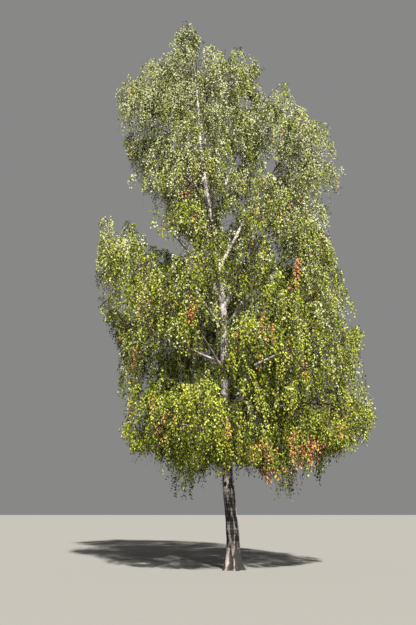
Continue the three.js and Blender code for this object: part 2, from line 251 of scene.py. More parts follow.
# Dark brows over the boughs, down both sides
BROW_SLOPE = 0.22
BROW_HEIGHT = 0.07
BROW_WIDTH = 0.8
BROW_DARK = 0.9
MARK_DEPTH = 0.010
SWELL_DEPTH = 0.008
RELIEF_FADES = ([0, 1.5, 5, 12], [1, 0.8, 0.3, 0.1])  # at these heights, to these shares
TRUNK_BROWN = ([0, 0.5, 1.3, 15, 18.5], [0.5, 0.35, 0, 0, 0.4])  # heights and shares
BOUGH_BROWN = ([0.3, 1], [0.1, 0.8])  # shares of its length, and of brown
BOUGH_BEND = 0.5  # as a share of its radius
BOUGH_KNOBS = 0.09
BOUGH_MARKS_SHARP = 1.8
BOUGH_MARKS_FEWER = 0.4
BOUGH_MARKS_DARK = 0.8
PAPER = (0.29, 0.275, 0.27)
PAPER_SHADE = (0.16, 0.14, 0.13)
PAPER_PINK = (0.28, 0.225, 0.20)
# The fissure colour is darker than black bark is, so that it also paints the shade deep in the fissures
FISSURE_BLACK_WITH_SHADE = (0.0025, 0.0022, 0.002)
FISSURE_EDGE = (0.020, 0.016, 0.014)
YOUNG = (0.22, 0.14, 0.10)
YOUNG_SHADE = (0.10, 0.065, 0.05)
NO_DASH = (0.0, 0.0, 0.0)
FULL_DASH = (0.75, 0.75, 0.75)
# Each texture of the bark: how fine it is, how much finer along x, y and z, its detail, and its colours
PAPER_TEXTURE = (2.2, (1, 1, 1.6), 6, [(0.3, PAPER_SHADE), (0.52, PAPER), (0.75, PAPER_PINK)])
DASH_TEXTURE = (7, (1, 1, 14), 3, [(0.60, NO_DASH), (0.68, FULL_DASH)])
FISSURE_AND_SHADE_TEXTURE = (22, (1, 1, 0.5), 5, [(0.3, FISSURE_BLACK_WITH_SHADE), (0.75, FISSURE_EDGE)])
YOUNG_TEXTURE = (9, (1, 1, 1), 5, [(0.3, YOUNG_SHADE), (0.7, YOUNG)])
GRAIN_TEXTURE = (30, (1, 1, 1.8), 5)
GRAIN_STRENGTH = 0.5
GRAIN_DEPTH = 0.012
BARK_SHINE = 0.35
PAPER_ROUGHNESS = 0.5
FISSURE_ROUGHNESS = 0.9

# Leaves
LEAF_SPACING = 0.043
LEAF_LENGTH = 0.066
FEWEST_AND_MOST_LEAVES = (3, 34)  # on a shoot
LEAF_STALK = (0.01, 0.06)  # how far a leaf hangs out from its shoot
LEAF_WIDTH = 0.74  # as a share of its length
LEAF_SIZE_JITTER = 0.25
LEAF_FOLD = 0.12
LEAF_WIDEST = 0.36  # how far along the leaf is widest
# How much a leaf points outward, down and along its shoot, and how far its face turns up or down
LEAF_OUTWARD = 0.75
LEAF_DOWN = (0.35, 1.3)
LEAF_ALONG = 0.35
LEAF_TURN_UP = 0.5
MOST_LEAVES_A_PIECE = 95000
LEAF_ROUGHNESS = 0.5
LEAF_SHINE = 0.06
LEAF_COLOURS = {
    "olive": (0.115, 0.140, 0.010),
    "light": (0.220, 0.252, 0.038),
    "yellow": (0.195, 0.200, 0.013),
    # the darkest green is painted shade on leaves, dealt most to the sprays inside the crown
    "painted_shade": (0.032, 0.048, 0.003),
    # sage, and pale near the top, are grey-greens that paint the sky's sheen on the upper leaves
    "sage_painted_sheen": (0.235, 0.252, 0.120),
    "pale": (0.290, 0.310, 0.180),
    "rust": (0.310, 0.130, 0.057),
}
# The share of strands in each colour, near the foot of the crown and near its top
SHARES = {
    "olive": (0.40, 0.14),
    "light": (0.24, 0.06),
    "yellow": (0.09, 0.0),
    "painted_shade": (0.26, 0.15),
    # near the top, sage and pale paint the sky's sheen on the leaves
    "sage_painted_sheen": (0.01, 0.43),
    "pale": (-0.12, 0.20),
    "rust": (0.005, 0.005),
}
SHARES_BETWEEN = (4.0, 14.0)  # the heights that those shares are for; below 0 means none
PAINTED_SHADE_BETWEEN = (0.45, 0.95)  # how far out, as a share of the crown's reach
PAINTED_SHADE_TIMES = (3.0, 0.5)  # how much commoner the darkest green, which paints shade, is there
SAME_AS_BRANCHLET = 0.5  # the share of strands that take the colour of their branchlet
PALE_UNDERSIDES_AND_GLINTS = 0.012  # the share of leaves that show their pale underside, which also paint glints
# Dry, rust-coloured patches: centre, half width, half height, and the share of the sprays there that
# take part
DRY_PATCHES = [
    ((1.48, -2.72, 3.21), 0.45, 0.4, 0.7),
    ((2.14, -2.26, 3.11), 0.45, 0.4, 0.7),
    ((1.00, -2.75, 3.10), 0.35, 0.4, 0.6),
    ((0.95, -2.46, 2.75), 0.4, 0.3, 0.7),
    ((1.11, -2.15, 2.42), 0.55, 0.3, 0.9),
    ((1.62, -1.85, 2.35), 0.55, 0.3, 0.9),
    ((1.58, -3.47, 8.15), 0.25, 0.5, 0.7),
    ((1.70, -3.17, 10.13), 0.25, 0.4, 0.7),
    ((-1.80, -2.95, 3.75), 0.3, 0.4, 0.25),
    ((1.99, -3.14, 5.34), 0.15, 0.4, 0.7),
    ((-1.33, -3.61, 11.29), 0.12, 0.4, 0.7),
    ((-3.01, -2.07, 4.43), 0.2, 0.35, 0.6),
    ((0.84, -3.51, 4.61), 0.2, 0.4, 0.6),
    ((2.54, -2.93, 4.84), 0.2, 0.4, 0.6),
    ((3.15, -2.31, 3.83), 0.25, 0.35, 0.6),
    ((-1.23, -3.46, 6.96), 0.14, 0.4, 0.7),
    ((-2.33, -2.80, 4.81), 0.15, 0.4, 0.6),
    ((-0.22, -3.40, 3.69), 0.15, 0.3, 0.6),
    ((3.96, -1.72, 5.07), 0.15, 0.4, 0.5),
    ((0.90, -3.44, 6.33), 0.15, 0.35, 0.7),
    ((1.72, -3.02, 11.65), 0.2, 0.4, 0.7),
    ((-0.92, -3.50, 12.06), 0.12, 0.4, 0.6),
    ((-1.00, -3.60, 11.20), 0.12, 0.35, 0.6),
    ((-1.08, -3.60, 9.86), 0.12, 0.35, 0.6),
]
DRY_WITH_TWIGS = 6  # the first of those patches, which get twigs of their own
DRY_TWIGS = 8  # for each such patch
DRY_TWIGS_ABOVE = 0.3
DRY_TWIGS_SCATTER = 0.35
DRY_WOBBLE = 0.5
DRY_MARGIN = 0.3  # how far outside a patch the middle of such a spray may be

# Stage
FLOOR_SIZE = 900
FLOOR_COLOUR = (0.15, 0.147, 0.14)
FLOOR_ROUGHNESS = 0.9
FLOOR_SHINE = 0.1
SKY_COLOUR = (0.91, 0.91, 0.90)
SKY_STRENGTH = 0.27
SUN_COLOUR = (1.0, 0.96, 0.88)
SUN_STRENGTH = 17.3
SUN_WIDTH = 2  # degrees across


def chance(item, draw):
    """A repeatable value from 0 to 1 for a pair of numbers, as in the part's source."""
    wave = math.sin(item * 127.1 + draw * 311.7) * 43758.5453
    return wave - math.floor(wave)


def jitter(item, draw):
    """The same from -1 to 1."""
    return 2 * chance(item, draw) - 1


def unit(vectors):
    return vectors / np.maximum(np.linalg.norm(vectors, axis=-1, keepdims=True), 1e-9)


def trunk_axis(height):
    """Points on the trunk's axis at an array of heights."""
    height = np.asarray(height, float)
    lean = -TRUNK_LEAN * (np.maximum(height, 0) / TREE_HEIGHT) ** LEAN_POWER
    sway = SWAY * np.minimum(1, height / SWAY_STARTS)
    phase = math.pi * (height - SWAY_NODE) / SWAY_HALF_WAVE
    return np.stack([lean + sway * np.sin(phase), sway * np.cos(phase), height], axis=-1)


def trunk_radius(height):
    return TRUNK_RADIUS * np.maximum(1 - np.asarray(height) / TRUNK_VANISHES, 0) ** TRUNK_TAPER


def crown_reach(height, toward_x, toward_y):
    """The crown's reach from the trunk's axis at a height, along a level bearing."""
    rows = CROWN_OUTLINE
    axis_x = trunk_axis(height)[..., 0]
    left = axis_x - np.interp(height, rows[:, 0], rows[:, 1])
    right = np.interp(height, rows[:, 0], rows[:, 2]) - axis_x
    side = np.where(toward_x > 0, right, left)
    depth = CROWN_DEPTH * (left + right) / 2
    reach = 1 / np.maximum(np.hypot(toward_x / side, toward_y / depth), 1e-9)
    return np.where((height > rows[0, 0]) & (height < rows[-1, 0]), reach, 0)


def lay_out_masses():
    """Where each mass is, in every tier, with its bough where it has one."""
    masses = []
    for name, level, count, share, turn, rise, arch, hang in TIERS:
        for i in range(count):
            index = len(masses)
            spread = 1 if count > 2 else 0
            bearing = math.radians(turn + 360 * i / count + spread * TURN_JITTER * jitter(index, 1))
            height = level + spread * HEIGHT_JITTER * jitter(index, 2)
            toward = np.array([math.cos(bearing), math.sin(bearing), 0])
            out = share * float(crown_reach(height, toward[0], toward[1]))
            centre = trunk_axis(height) + toward * out
            mass = {"name": f"{name}_{i + 1}", "centre": centre, "hang": hang, "bough": None}
            if rise is None:
                mass["root"] = trunk_axis(centre[2] - STEM_STARTS_BELOW)
                mass["onward"] = unit(centre - mass["root"])
            else:
                tip = centre - toward * TIP_INSIDE + UP * TIP_ABOVE
                climb = (out - TIP_INSIDE) * math.tan(math.radians(rise))
                root = trunk_axis(tip[2] - climb)
                middle = (root + tip) / 2 + UP * arch * np.linalg.norm(tip - root)
                mass["bough"] = (root, middle, tip)
                mass["root"] = tip
                mass["onward"] = unit(tip - middle)
            masses.append(mass)
    return masses


MASSES = lay_out_masses()
FOLIAGE = [f"foliage_{mass['name']}" for mass in MASSES]
CENTRES = np.array([mass["centre"] for mass in MASSES])
HANGS = np.array([mass["hang"] for mass in MASSES])


def lumps(points, size, seed):
    """A smooth random value at each point, about 0 on average and 1 in spread, in lumps of a size."""
    waves = np.random.default_rng(seed)
    total = np.zeros(len(points))
    for _ in range(LUMP_WAVES):
        along = unit(waves.normal(size=3)) * waves.uniform(*LUMP_SCATTER) * 2 * math.pi / size
        total += np.sin(points @ along + waves.uniform(0, 2 * math.pi))
    return total / math.sqrt(LUMP_WAVES / 2)


def find_slots():
    """Each slot as the two ends of what shows, a direction from there, and half its width."""
    tilt, turn = math.radians(SUN_TILT), math.radians(SUN_TURN)
    level = math.sin(tilt)
    toward_sun = np.array([math.sin(turn) * level, -math.cos(turn) * level, math.cos(tilt)])
    lines = {mass["name"]: mass["bough"] for mass in MASSES}
    slots = []
    for limb, first, last, viewer_width, sun_width in SLOTS:
        if limb == "trunk":
            ends = [trunk_axis(first), trunk_axis(last)]
        else:
            root, middle, tip = lines[limb]
            ends = [(1 - t) ** 2 * root + 2 * t * (1 - t) * middle + t**2 * tip for t in (first, last)]
        slots.append((*ends, unit(VIEWER - (ends[0] + ends[1]) / 2), viewer_width))
        if sun_width:
            slots.append((*ends, toward_sun, sun_width))
    return slots


LIMB_SLOTS = find_slots()


def in_gap(points):
    """Whether each point is in the clear air of one of the crown's gaps or slots."""
    clear = np.zeros(len(points), bool)
    wobble = lumps(points, GAP_LUMP, seed=11)
    slot_share = np.minimum(1, 1 + SLOT_WOBBLE * lumps(points, SLOT_LUMP, seed=12))
    for centre, half_size, rise_back, rise_right in CROWN_GAPS:
        offset = points - centre
        offset[:, 2] -= rise_back * offset[:, 1] + rise_right * offset[:, 0]
        clear |= np.linalg.norm(offset / half_size, axis=1) < 1 + GAP_WOBBLE / min(half_size) * wobble
    for start, end, toward, half_width in LIMB_SLOTS:
        offset = points - start
        flat = offset - (offset @ toward)[:, None] * toward
        line = end - start
        line = line - (line @ toward) * toward
        share = np.clip(flat @ line / (line @ line), 0, 1)
        beside = np.linalg.norm(flat - share[:, None] * line, axis=1)
        clear |= (beside < half_width * slot_share) & (offset @ toward > 0)
    return clear


def from_trunk(points):
    """Each point's distance from the trunk's axis, and the crown's reach on that bearing."""
    out = points - trunk_axis(points[:, 2])
    distance = np.linalg.norm(out, axis=1)
    toward = out / np.maximum(distance, 1e-6)[:, None]
    return distance, crown_reach(points[:, 2], toward[:, 0], toward[:, 1])


def in_crown(points, edge):
    """Whether each point is inside the crown's tufted outline, by an edge, and out of its gaps."""
    distance, reach = from_trunk(points)
    thin = THIN_SHARE * reach
    notch = np.minimum(NOTCH_DEPTH, thin) * np.clip(lumps(points, NOTCH_SIZE, seed=8), 0, 2)
    return (distance + np.minimum(edge, thin) + notch < reach) & ~in_gap(points)


def in_own_space(points, owner, edge):
    """Whether each point is in the crown and in its own mass's space, or close to the trunk."""
    near_trunk = np.linalg.norm(points - trunk_axis(points[:, 2]), axis=1) < NEAR_TRUNK
    from_centres = np.linalg.norm(points[:, None, :] - CENTRES[None], axis=-1)
    own = from_centres[np.arange(len(points)), owner] < from_centres.min(1) + MINGLE
    return in_crown(points, edge) & (own | near_trunk)


def in_hollow(points):
    """Whether each point is in one of the thin places between the sprays."""
    limit = np.interp(points[:, 2], HOLLOW_HEIGHTS, HOLLOW_BELOW)
    return lumps(points, HOLLOW_SIZE, seed=9) < limit


class Strands:
    """Many tapering strands, each along a quadratic curve, with the mass that each belongs to."""

    def __init__(self, start, middle, end, owner):
        self.start, self.middle, self.end, self.owner = start, middle, end, owner

    def __len__(self):
        return len(self.owner)

    def point(self, along):
        """The point on each strand at its own share of the way along, or at one share for all."""
        along = np.atleast_1d(along)[:, None]
        near = (1 - along) ** 2 * self.start + 2 * along * (1 - along) * self.middle
        return near + along**2 * self.end

    def ahead(self, along):
        """The direction in which each strand runs there."""
        along = np.atleast_1d(along)[:, None]
        slope = (1 - along) * (self.middle - self.start) + along * (self.end - self.middle)
        return unit(slope)

    def length(self):
        """Each strand's length, taken halfway between its chord and its two legs."""
        chord = np.linalg.norm(self.end - self.start, axis=1)
        first_leg = np.linalg.norm(self.middle - self.start, axis=1)
        last_leg = np.linalg.norm(self.end - self.middle, axis=1)
        return (chord + first_leg + last_leg) / 2

    def pick(self, chosen):
        return Strands(self.start[chosen], self.middle[chosen], self.end[chosen], self.owner[chosen])


def join_strands(parts):
    return Strands(
        np.concatenate([part.start for part in parts]),
        np.concatenate([part.middle for part in parts]),
        np.concatenate([part.end for part in parts]),
        np.concatenate([part.owner for part in parts]),
    )


def drooping(start, direction, length, reach, fall, owner):
    """Strands that set out in a direction and then hang over by a share of their length."""
    length = length[:, None]
    middle = start + direction * length * (reach / 2)
    end = start + direction * length * reach - UP * fall[:, None] * length
    return Strands(start, middle, end, owner)


def fit(start, direction, length, reach, fall, owner, edge):
    """Strands cut shorter until they fit their own space, and which ones were kept."""
    share = np.zeros(len(owner))

    def cut(chosen, shares):
        lengths = shares * length[chosen]
        return drooping(start[chosen], direction[chosen], lengths, reach, fall[chosen], owner[chosen])

    for shorter in SHORTER:
        todo = np.flatnonzero(share == 0)
        trial = cut(todo, shorter)
        fits = in_own_space(trial.end, owner[todo], edge)
        for along in PASSES_THROUGH:
            fits &= in_own_space(trial.point(along), owner[todo], edge)
        share[todo[fits]] = shorter
    kept = share > 0
    return cut(kept, share[kept]), kept


def fork(parents, rule):
    """Strands that branch off parents in a spiral. Also gives each one's parent."""
    count, first, last, spread, length, reach, fall = rule
    total = len(parents) * count
    parent = np.repeat(np.arange(len(parents)), count)
    order = np.tile(np.arange(count), len(parents))
    along = np.clip(first + (last - first) / count * (order + rng.random(total)), 0, 1)
    scatter = rng.uniform(-TURN_SCATTER, TURN_SCATTER, total)
    turn = np.radians(order * GOLDEN_ANGLE + scatter + TURN_PER_PARENT * parent)[:, None]
    from_parents = parents.pick(parent)
    ahead = from_parents.ahead(along)
    side = unit(np.cross(ahead, UP) + [1e-6, 0, 0])
    lift = np.cross(side, ahead)
    spreads = np.radians(spread * rng.uniform(*SCATTER, total))[:, None]
    around = side * np.cos(turn) + lift * np.sin(turn)
    direction = ahead * np.cos(spreads) + around * np.sin(spreads)
    longer = rng.uniform(1 - LENGTH_JITTER, 1 + LENGTH_JITTER, total)
    lengths = length * (1 - SHORTER_OUTWARD * along) * longer
    owner = from_parents.owner
    falls = fall * HANGS[owner] * rng.uniform(*SCATTER, total)
    strands, kept = fit(from_parents.point(along), direction, lengths, reach, falls, owner, EDGE)
    return strands, parent[kept]


def grow_fillers(limbs, twigs):
    """Twigs from the nearest limb to the dry patches, and to places that no twig reaches yet."""
    taken = np.concatenate([twigs.point(along) for along in TAKEN_ALONG])
    feet = np.concatenate([limbs.point(along) for along in FEET_ALONG] + [trunk_axis(FEET_UP_TRUNK)])
    left, right = CROWN_OUTLINE[:, 1].min(), CROWN_OUTLINE[:, 2].max()
    bottom, top = CROWN_OUTLINE[0, 0], CROWN_OUTLINE[-1, 0]
    tries = rng.uniform([left, left, bottom], [right, right, top], (FILL_TRIES, 3))
    tries = tries[in_crown(tries, FILL_EDGE) & ~in_hollow(tries)]
    dry = np.repeat([centre for centre, _, _, _ in DRY_PATCHES[:DRY_WITH_TWIGS]], DRY_TWIGS, axis=0)
    dry = dry + rng.uniform(-DRY_TWIGS_SCATTER, DRY_TWIGS_SCATTER, dry.shape) + DRY_TWIGS_ABOVE * UP
    starts, ends = [], []
    for number, place in enumerate(np.concatenate([dry, tries])):
        if number >= len(dry) and ((taken - place) ** 2).sum(1).min() < FILL_SPACING**2:
            continue
        above = np.maximum(feet[:, 2] - place[2], 0)
        away = np.linalg.norm(feet - place, axis=1) + FILL_DOWNWARD * above
        foot = feet[away.argmin()]
        crossed = foot + CROSSED_ALONG[:, None] * (place - foot)
        if away.min() > FILL_LONGEST or in_gap(crossed).any():
            continue
        starts.append(foot)
        ends.append(place)
        taken = np.vstack([taken, place])
    start, end = np.array(starts), np.array(ends)
    middle = (start + end) / 2 + UP * FILL_ARCH * np.linalg.norm(end - start, axis=1)[:, None]
    owner = np.linalg.norm(end[:, None, :] - CENTRES[None], axis=-1).argmin(1)
    return Strands(start, middle, end, owner)


def grow_stems():
    """The stem of each mass, on from its bough's tip or up from the trunk."""
    root = np.array([mass["root"] for mass in MASSES])
    onward = np.array([mass["onward"] for mass in MASSES])
    owner = np.arange(len(MASSES))
    length = np.full(len(MASSES), STEM_LENGTH)
    stems, _ = fit(root, onward, length, 1, STEM_DROOP * HANGS, owner, STEM_EDGE)
    return stems


def wander(angle, height, seed, finest=4):
    """A smooth random value, mostly from -1 to 1, that closes on itself round a limb."""
    waves = np.random.default_rng(seed)
    total = np.zeros(np.broadcast(angle, height).shape)
    for times_round in range(finest + 1):
        for _ in range(WANDER_PER_ROUND):
            along = waves.uniform(*WANDER_WAVES) * (1 + times_round)
            phase = waves.uniform(0, 2 * math.pi)
            total += np.sin(times_round * angle + along * height * 2 + phase) / (1 + times_round)
    return total / WANDER_TALLEST


def mesh_object(name, points, faces, material, smooth=False):
    """A mesh from arrays of points and of triangles or quads."""
    corners = faces.shape[1]
    mesh = bpy.data.meshes.new(name)
    mesh.vertices.add(len(points))
    mesh.vertices.foreach_set("co", points.astype(np.float32).ravel())
    mesh.loops.add(faces.size)
    mesh.loops.foreach_set("vertex_index", faces.astype(np.int32).ravel())
    mesh.polygons.add(len(faces))
    mesh.polygons.foreach_set("loop_start", np.arange(0, faces.size, corners, dtype=np.int32))
    mesh.polygons.foreach_set("use_smooth", np.full(len(faces), smooth))
    mesh.materials.append(material)
    mesh.update(calc_edges=True)
    piece = bpy.data.objects.new(name, mesh)
    bpy.context.scene.collection.objects.link(piece)
    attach(piece, "root")
    return piece


def tubes(strands, thick, thin, sides, steps):
    """Points and triangles of a tapering tube round each strand, with open ends."""
    rings = []
    for along in np.linspace(0, 1, steps + 1):
        centre = strands.point(along)
        ahead = strands.ahead(along)
        side = unit(np.cross(ahead, ASIDE))
        lift = np.cross(side, ahead)
        radius = thick + (thin - thick) * along
        for corner in range(sides):
            angle = 2 * math.pi * corner / sides
            rings.append(centre + radius * (side * math.cos(angle) + lift * math.sin(angle)))
    points = np.stack(rings, axis=1).reshape(-1, 3)
    faces = []
    for step in range(steps):
        for corner in range(sides):
            here = step * sides + corner
            beside = step * sides + (corner + 1) % sides
            faces.append([here, beside, beside + sides])
            faces.append([here, beside + sides, here + sides])
    pattern = np.array(faces)
    offsets = np.arange(len(strands)) * (steps + 1) * sides
    return points, (pattern[None] + offsets[:, None, None]).reshape(-1, 3)


def ring_faces(rings, sides):
    """Quads between rings of points."""
    ring, side = np.meshgrid(np.arange(rings - 1), np.arange(sides), indexing="ij")
    here = ring * sides + side
    beside = ring * sides + (side + 1) % sides
    return np.stack([here, beside, beside + sides, here + sides], axis=-1).reshape(-1, 4)


def add_number(piece, name, values):
    """A value for each point of a piece, which its material reads by name."""
    attribute = piece.data.attributes.new(name, "FLOAT", "POINT")
    attribute.data.foreach_set("value", np.clip(values, 0, 1).astype(np.float32).ravel())


def apart(angle, bearing):
    """The angle between a bearing and each of some angles round a limb."""
    return np.abs((angle - bearing + math.pi) % (2 * math.pi) - math.pi)


def soft_step(values, steepness):
    """Rises smoothly from 0 to 1 as the values pass 0."""
    return 0.5 + 0.5 * np.tanh(steepness * values / 2)


def trunk_marks(angle, height, rough):
    """How dark the trunk's bark is: lozenges, furrows, level bands, and brows over the boughs."""
    patches = np.random.default_rng(6)
    dark = np.zeros(rough.shape)
    for _ in range(FISSURES):
        share = patches.random() ** FISSURES_CROWD
        half_height = patches.uniform(*FISSURE_HALF_HEIGHT) * (1 - FISSURES_SHORTEN * share)
        half_width = patches.uniform(*FISSURE_HALF_WIDTH) * (1 - MARKS_NARROW * share)
        across = apart(angle, patches.uniform(-math.pi, math.pi)) / half_width
        up = np.abs(height - FISSURES_UP_TO * share) / half_height
        dark = np.maximum(dark, soft_step(1 + FISSURE_ROUGH * rough - across - up, MARK_EDGE))
    for _ in range(FURROWS):
        share = patches.random() ** FURROWS_CROWD
        half_height = patches.uniform(*FURROW_HALF_HEIGHT)
        half_width = patches.uniform(*FURROW_HALF_WIDTH) * (1 - MARKS_NARROW * share)
        across = apart(angle, patches.uniform(-math.pi, math.pi)) / half_width
        up = ((height - FURROWS_UP_TO * share) / half_height) ** 2
        dark = np.maximum(dark, soft_step(1 + FURROW_ROUGH * rough - across - up, MARK_EDGE))
    for _ in range(BANDS):
        middle = patches.uniform(*BANDS_BETWEEN)
        half_height = patches.uniform(*BAND_HALF_HEIGHT)
        half_width = patches.uniform(*BAND_HALF_WIDTH)
        across = apart(angle, patches.uniform(-math.pi, math.pi)) / half_width
        up = np.abs(height - middle) / half_height
        band = soft_step(1 + BAND_ROUGH * rough - across - up, BAND_EDGE)
        dark = np.maximum(dark, patches.uniform(*BAND_DARK) * band)
    for mass in MASSES:
        if not mass["bough"]:
            continue
        foot = mass["bough"][0]
        toward = mass["bough"][2] - foot
        beside = apart(angle, math.atan2(toward[1], toward[0]))
        climb = toward[2] / max(math.hypot(toward[0], toward[1]), 0.1)
        leaves_at = foot[2] + trunk_radius(foot[2]) * climb
        up = (height - leaves_at + BROW_SLOPE * beside) / BROW_HEIGHT
        dark = np.maximum(dark, BROW_DARK * np.exp(-up**2) * np.exp(-(beside / BROW_WIDTH) ** 2))
    return dark


def make_trunk(material):
    """The trunk with its root flare and fissured bark, whose relief fades upwards."""
    low = np.arange(0, FINE_UP_TO, FINE_RING)
    high = FINE_UP_TO + (TRUNK_TOP - FINE_UP_TO) * np.linspace(0, 1, RINGS_ABOVE)
    height = np.concatenate([low, high])[:, None]
    angle = np.linspace(0, 2 * math.pi, TRUNK_SIDES, endpoint=False)[None]
    coarse = wander(angle * 3, height * 9, seed=3, finest=6)
    fine = wander(angle * 5, height * 16, seed=4, finest=6)
    rough = (coarse + fine) / 2
    dark = trunk_marks(angle, height, rough)
    fade = np.interp(height, *RELIEF_FADES)
    swell = wander(angle, height * 2, seed=5)
    relief = fade * (MARK_DEPTH * (rough - 1) * dark + SWELL_DEPTH * swell)
    flare = FLARE * np.exp(-height / FLARE_HEIGHT)
    lobes = 1 + LOBE_DEPTH * np.exp(-height / LOBE_HEIGHT) * np.cos(ROOT_LOBES * angle)
    radius = (trunk_radius(height) + flare) * lobes + relief
    centre = trunk_axis(height[:, 0])[:, None]
    out = np.stack([np.cos(angle), np.sin(angle), np.zeros_like(angle)], axis=-1)
    points = (centre + radius[..., None] * out).reshape(-1, 3)
    faces = ring_faces(len(height), TRUNK_SIDES)
    piece = mesh_object("trunk_bark", points, faces, material, smooth=True)
    add_number(piece, "dark", dark)
    add_number(piece, "young", np.broadcast_to(np.interp(height, *TRUNK_BROWN), dark.shape))
    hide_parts("trunk")


def make_boughs(material):
    """Each bough with slight bends, knobs and dark marks, white at its root and browner to its tip."""
    for index, mass in enumerate(MASSES):
        if not mass["bough"]:
            continue
        line = Strands(*(np.array([place]) for place in mass["bough"]), np.array([index]))
        length = float(line.length()[0])
        rings = int(length / BOUGH_RING)
        along = np.linspace(0, 1, rings)
        centre = line.point(along)
        ahead = line.ahead(along)
        side = unit(np.cross(ahead, UP))
        lift = np.cross(side, ahead)
        foot = BOUGH_TIP_RADIUS + BOUGH_RADIUS_PER_LENGTH * length
        foot = min(foot, BOUGH_TO_TRUNK * float(trunk_radius(mass["bough"][0][2])))
        collar = COLLAR * foot * np.exp(-along / COLLAR_LENGTH)
        radius = BOUGH_TIP_RADIUS + (foot - BOUGH_TIP_RADIUS) * (1 - along) ** BOUGH_TAPER + collar
        bend = BOUGH_BEND * radius * np.sin(math.pi * along)
        centre = centre + side * (bend * wander(0, along * length, 20 + index))[:, None]
        centre = centre + lift * (bend * wander(0, along * length, 60 + index))[:, None]
        angle = np.linspace(0, 2 * math.pi, BOUGH_SIDES, endpoint=False)
        knobs = BOUGH_KNOBS * wander(angle[None], (along * length * 2)[:, None], 100 + index)
        around = side[:, None] * np.cos(angle)[:, None] + lift[:, None] * np.sin(angle)[:, None]
        points = centre[:, None] + (radius[:, None] * (1 + knobs))[..., None] * around
        points = points.reshape(-1, 3)
        faces = ring_faces(rings, BOUGH_SIDES)
        piece = mesh_object(f"bough_bark_{mass['name']}", points, faces, material, smooth=True)
        marks = wander(angle[None], (along * length * 5)[:, None], 140 + index)
        brown = np.interp(along, *BOUGH_BROWN)[:, None]
        dark = np.clip(BOUGH_MARKS_SHARP * marks - BOUGH_MARKS_FEWER, 0, BOUGH_MARKS_DARK)
        add_number(piece, "dark", dark)
        add_number(piece, "young", np.broadcast_to(brown, marks.shape))
        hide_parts(f"bough_{mass['name']}")


def leaf_outline():
    """A leaf folded along its rib: points as shares along, across and off its blade, and two faces."""
    points = np.array([
        [0.0, 0.0, 0.0],
        [LEAF_WIDEST, 0.5, LEAF_FOLD],
        [1.0, 0.0, 0.0],
        [LEAF_WIDEST, -0.5, LEAF_FOLD],
    ])
    faces = np.array([[0, 1, 2], [0, 2, 3]])
    return points, faces


def leaves_on(shoots, colour_of_shoot, patch_of_shoot):
    """The points of every leaf that is in no gap, as (leaves, 4, 3), and each leaf's colour."""
    count = np.round(shoots.length() / LEAF_SPACING)
    count = np.clip(count, *FEWEST_AND_MOST_LEAVES).astype(int)
    shoot = np.repeat(np.arange(len(shoots)), count)
    order = np.arange(len(shoot)) - np.repeat(np.cumsum(count) - count, count)
    total = len(shoot)
    along = np.clip((order + rng.random(total)) / count[shoot], 0, 1)
    on = shoots.pick(shoot)
    bearing = rng.uniform(0, 2 * math.pi, total)
    outward = np.stack([np.cos(bearing), np.sin(bearing), np.zeros(total)], axis=1)
    drop = rng.uniform(*LEAF_DOWN, total)[:, None]
    direction = unit(outward * LEAF_OUTWARD - UP * drop + on.ahead(along) * LEAF_ALONG)
    length = LEAF_LENGTH * rng.uniform(1 - LEAF_SIZE_JITTER, 1 + LEAF_SIZE_JITTER, total)[:, None]
    root = on.point(along) + outward * rng.uniform(*LEAF_STALK, total)[:, None]
    roll = rng.uniform(0, 2 * math.pi, total)
    tilt = rng.uniform(-LEAF_TURN_UP, LEAF_TURN_UP, total)
    loose = np.stack([np.cos(roll), np.sin(roll), tilt], axis=1)
    across = unit(np.cross(direction, loose))
    off = np.cross(across, direction)
    outline, _ = leaf_outline()
    points = (
        root[:, None]
        + direction[:, None] * (outline[None, :, :1] * length[:, None])
        + across[:, None] * (outline[None, :, 1:2] * length[:, None] * LEAF_WIDTH)
        + off[:, None] * (outline[None, :, 2:] * length[:, None])
    )
    names = list(LEAF_COLOURS)
    # a few pale leaves: their undersides, which also paint glints
    colour = np.where(rng.random(total) < PALE_UNDERSIDES_AND_GLINTS, names.index("pale"), colour_of_shoot[shoot])
    patch = patch_of_shoot[shoot]
    centres = np.array([centre for centre, _, _, _ in DRY_PATCHES])
    half_sizes = np.array([(wide, wide, high) for _, wide, high, _ in DRY_PATCHES])
    from_middle = np.linalg.norm((root - centres[patch]) / half_sizes[patch], axis=1)
    inside = from_middle < 1 + DRY_WOBBLE * rng.random(total)
    colour[(patch >= 0) & inside] = names.index("rust")
    kept = ~in_gap(root)
    return points[kept], colour[kept]


def deal_colours(sprays):
    """The number of each spray's colour: by chance, but paler and greyer near the top as painted sheen,
    and darker inside as painted shade.
    """
    names = list(LEAF_COLOURS)
    place = sprays.point(0.5)
    height = place[:, 2]
    shares = [np.interp(height, SHARES_BETWEEN, SHARES[name]) for name in names]
    shares = np.maximum(np.stack(shares, axis=1), 0)
    distance, reach = from_trunk(place)
    outward = distance / np.maximum(reach, 0.1)
    # painted shade: the darkest green is dealt more often to sprays deep inside the crown
    shares[:, names.index("painted_shade")] *= np.interp(outward, PAINTED_SHADE_BETWEEN, PAINTED_SHADE_TIMES)
    edges = np.cumsum(shares, axis=1) / shares.sum(1, keepdims=True)
    return (rng.random(len(sprays))[:, None] > edges[:, :-1]).sum(1)


def deal_dry(sprays):
    """The number of the dry patch that each spray has a part in, or -1 for none."""
    place = sprays.point(0.5)
    dealt = np.full(len(sprays), -1)
    for index, (centre, half_width, half_height, share) in enumerate(DRY_PATCHES):
        near = np.linalg.norm(place - centre, axis=1) < max(half_width, half_height) + DRY_MARGIN
        dealt[near & (rng.random(len(sprays)) < share)] = index
    return dealt


def plain_material(name, colour, roughness, shine):
    material = bpy.data.materials.new(name)
    material.use_nodes = True
    shader = material.node_tree.nodes["Principled BSDF"]
    shader.inputs["Base Color"].default_value = (*colour, 1)
    shader.inputs["Roughness"].default_value = roughness
    shader.inputs["Specular IOR Level"].default_value = shine
    return material


